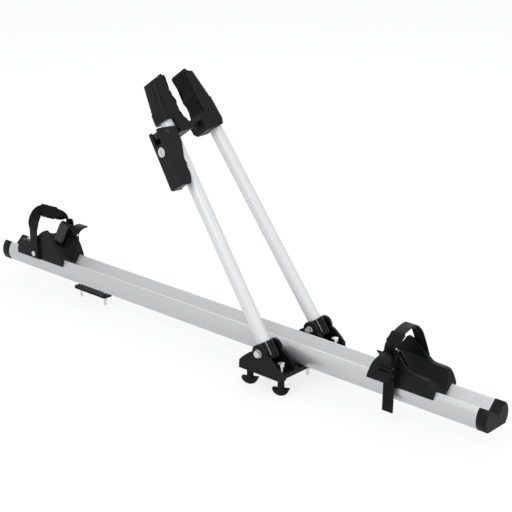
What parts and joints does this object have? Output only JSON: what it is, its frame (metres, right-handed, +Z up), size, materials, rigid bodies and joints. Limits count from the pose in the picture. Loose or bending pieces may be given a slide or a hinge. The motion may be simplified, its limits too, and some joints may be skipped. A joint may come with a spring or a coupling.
{
  "type": "roof mounted bike carrier",
  "caption": "Grooved aluminium wheel rail on a roof bar base, with two leaning arms that clamp a bicycle frame in rubber jaws and sliding wheel holders with ratchet straps.",
  "frame": {"origin": "middle of the seat under the front base, where the front roof bar lies", "axes": "+X along the rail towards the end that the arms lean away from, +Y towards the arm without the lever, +Z up"},
  "size_m": [1.344, 0.2186, 0.5678],
  "materials": {
    "rail_aluminium": "satin anodised",
    "tube_aluminium": "bright satin anodised",
    "black_plastic": "fine matte moulding",
    "lever_plastic": "low sheen",
    "jaw_rubber": "matte",
    "strap_plastic": "matte",
    "tongue_plastic": "low sheen",
    "zinc_steel": "bright zinc plating"
  },
  "bodies": {
    "rail_frame": {"wheel_rail": "rail_aluminium", "left_end_cap": "black_plastic", "right_end_cap": "black_plastic", "base_bracket": "black_plastic", "rail_bolts": "zinc_steel", "rail_nuts": "zinc_steel", "bar_bolts": "zinc_steel"},
    "near_left_knob_body": {"near_left_knob": "black_plastic"},
    "near_right_knob_body": {"near_right_knob": "black_plastic"},
    "far_left_knob_body": {"far_left_knob": "black_plastic"},
    "far_right_knob_body": {"far_right_knob": "black_plastic"},
    "near_pivot": {"near_pivot_bolt": "zinc_steel", "near_pivot_nut": "zinc_steel"},
    "far_arm": {"far_pivot_bolt": "zinc_steel", "far_pivot_nut": "zinc_steel", "far_arm_foot": "black_plastic", "far_arm_tube": "tube_aluminium", "far_jaw": "black_plastic", "far_jaw_grip": "jaw_rubber", "clamp_rod": "zinc_steel", "rod_lock_nut": "zinc_steel", "rod_end_nuts": "zinc_steel"},
    "near_arm": {"near_arm_foot": "black_plastic", "near_arm_tube": "tube_aluminium", "near_jaw": "black_plastic", "near_jaw_grip": "jaw_rubber", "lever_barrel": "zinc_steel"},
    "lever": {"clamp_lever": "lever_plastic", "lock_housing": "zinc_steel"},
    "lock": {"lock_plug": "zinc_steel"},
    "rear_clamp": {"rear_studs": "zinc_steel"},
    "rear_clamp_plate": {"rear_plate": "black_plastic"},
    "left_holder": {"left_chock": "black_plastic", "left_chock_bolt": "zinc_steel", "left_chock_nut": "zinc_steel", "left_strap": "strap_plastic", "left_rim_pad": "jaw_rubber", "left_anchor_screw": "zinc_steel", "left_ratchet_frame": "black_plastic", "left_ratchet_screw": "zinc_steel", "left_lever_pin": "zinc_steel", "left_release_pin": "zinc_steel", "left_rim_tongue": "tongue_plastic"},
    "left_ratchet": {"left_ratchet_lever": "black_plastic"},
    "left_release": {"left_release_tab": "black_plastic"},
    "right_holder": {"right_chock": "black_plastic", "right_chock_bolt": "zinc_steel", "right_chock_nut": "zinc_steel", "right_strap": "strap_plastic", "right_rim_pad": "jaw_rubber", "right_anchor_screw": "zinc_steel", "right_ratchet_frame": "black_plastic", "right_ratchet_screw": "zinc_steel", "right_lever_pin": "zinc_steel", "right_release_pin": "zinc_steel", "right_rim_tongue": "tongue_plastic"},
    "right_ratchet": {"right_ratchet_lever": "black_plastic"},
    "right_release": {"right_release_tab": "black_plastic"}
  },
  "joints": [
    {"name": "near_left_knob_turn", "type": "hinge", "parent": "rail_frame", "child": "near_left_knob_body", "pos_m": [-0.04, -0.082, -0.02], "axis": [0, 0, 1], "continuous": true},
    {"name": "near_right_knob_turn", "type": "hinge", "parent": "rail_frame", "child": "near_right_knob_body", "pos_m": [0.04, -0.082, -0.02], "axis": [0, 0, 1], "continuous": true},
    {"name": "far_left_knob_turn", "type": "hinge", "parent": "rail_frame", "child": "far_left_knob_body", "pos_m": [-0.04, 0.082, -0.02], "axis": [0, 0, 1], "continuous": true},
    {"name": "far_right_knob_turn", "type": "hinge", "parent": "rail_frame", "child": "far_right_knob_body", "pos_m": [0.04, 0.082, -0.02], "axis": [0, 0, 1], "continuous": true},
    {"name": "arms_fold", "type": "hinge", "parent": "rail_frame", "child": "far_arm", "pos_m": [0, 0.0765, 0.044], "axis": [0, -1, 0], "range_deg": [-35, 38]},
    {"name": "near_arm_fold", "type": "hinge", "parent": "rail_frame", "child": "near_pivot", "pos_m": [0, -0.0765, 0.044], "axis": [0, -1, 0], "range_deg": [-35, 38]},
    {"name": "near_arm_swing", "type": "hinge", "parent": "near_pivot", "child": "near_arm", "pos_m": [0, -0.0765, 0.044], "axis": [-0.8131, 0, -0.5821], "range_deg": [0, 2.4]},
    {"name": "lever_swing", "type": "hinge", "parent": "near_arm", "child": "lever", "pos_m": [-0.27243, -0.081, 0.42453], "axis": [-0.8131, 0, -0.5821], "range_deg": [0, 95]},
    {"name": "lock_turn", "type": "hinge", "parent": "lever", "child": "lock", "pos_m": [-0.25224, -0.09884, 0.39633], "axis": [-0.0467, -0.9968, 0.0652], "range_deg": [0, 90]},
    {"name": "rear_clamp_slide", "type": "slide", "parent": "rail_frame", "child": "rear_clamp", "axis": [1, 0, 0], "range_m": [-0.05, 0.05]},
    {"name": "rear_plate_slide", "type": "slide", "parent": "rear_clamp", "child": "rear_clamp_plate", "axis": [0, 0, 1], "range_m": [-0.015, 0.015]},
    {"name": "left_holder_slide", "type": "slide", "parent": "rail_frame", "child": "left_holder", "axis": [1, 0, 0], "range_m": [-0.02, 0.1]},
    {"name": "right_holder_slide", "type": "slide", "parent": "rail_frame", "child": "right_holder", "axis": [1, 0, 0], "range_m": [-0.1, 0.06]},
    {"name": "left_ratchet_swing", "type": "hinge", "parent": "left_holder", "child": "left_ratchet", "pos_m": [-0.718, 0.0522, 0.081], "axis": [-1, 0, 0], "range_deg": [-53, 25]},
    {"name": "left_release_press", "type": "hinge", "parent": "left_holder", "child": "left_release", "pos_m": [-0.718, 0.0522, 0.068], "axis": [-1, 0, 0], "range_deg": [0, 12], "stiffness_Nm_per_rad": 0.05},
    {"name": "right_ratchet_swing", "type": "hinge", "parent": "right_holder", "child": "right_ratchet", "pos_m": [0.267, -0.0522, 0.081], "axis": [1, 0, 0], "range_deg": [-2, 75]},
    {"name": "right_release_press", "type": "hinge", "parent": "right_holder", "child": "right_release", "pos_m": [0.267, -0.0522, 0.068], "axis": [1, 0, 0], "range_deg": [0, 12], "stiffness_Nm_per_rad": 0.05}
  ],
  "couplings": [
    {"joint": "near_arm_fold", "follows": "arms_fold", "ratio": 1}
  ]
}
